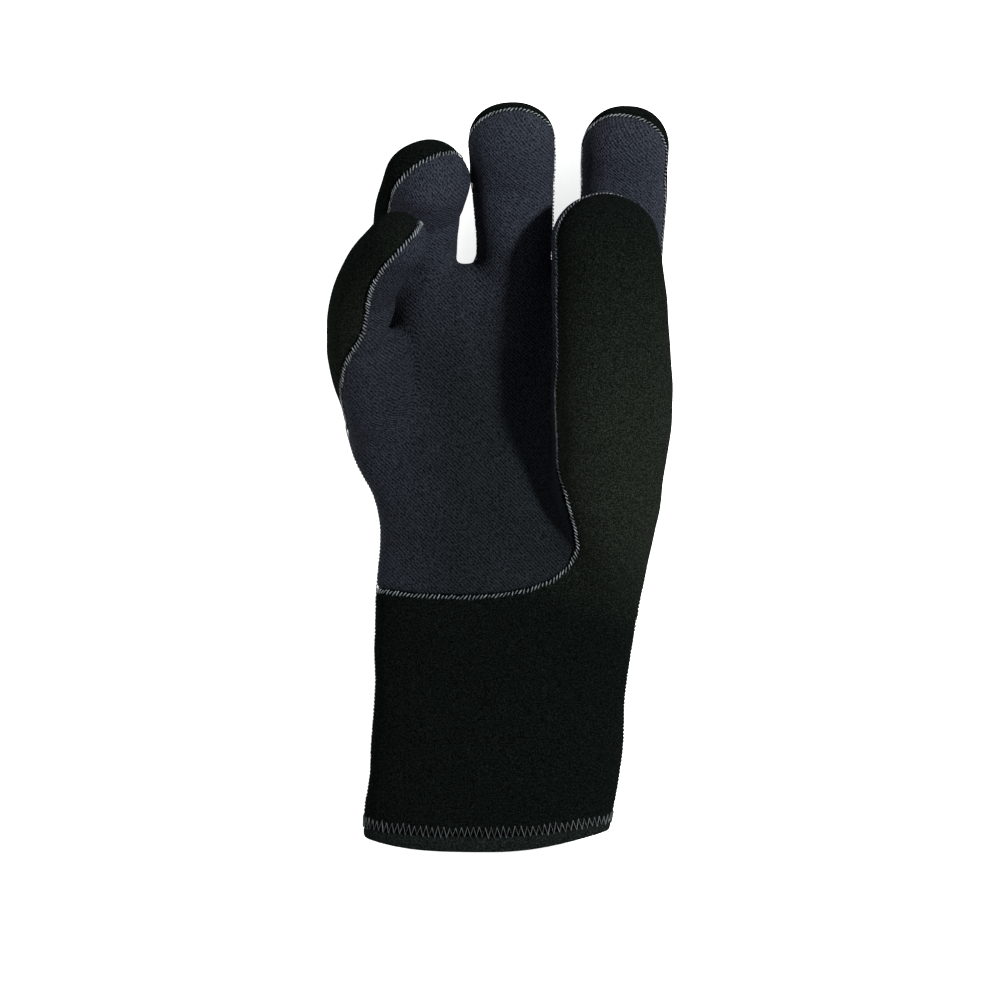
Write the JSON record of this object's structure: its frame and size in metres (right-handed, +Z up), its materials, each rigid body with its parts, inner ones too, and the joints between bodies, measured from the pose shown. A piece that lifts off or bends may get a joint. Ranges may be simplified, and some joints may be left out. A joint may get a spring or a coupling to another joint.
{
  "type": "diving glove",
  "caption": "Right-hand neoprene diving glove lying palm up, with curled fingers, a thumb bent over the palm and a long open cuff.",
  "frame": {"origin": "middle of the footprint, on the surface that the back of the glove lies on", "axes": "+Y from the cuff towards the fingertips, +X towards the thumb, +Z up out of the palm"},
  "size_m": [0.1289, 0.2775, 0.084],
  "materials": {
    "palm_knit": "dark blue ribbed grip knit on neoprene",
    "jersey": "matt black stretch jersey on neoprene",
    "hem": "matt black jersey, turned in and stitched"
  },
  "bodies": {
    "root": {"palm_panel": "palm_knit", "thumb_cuff_panel": "jersey", "back_panel": "jersey", "cuff_hem": "hem"}
  },
  "joints": []
}
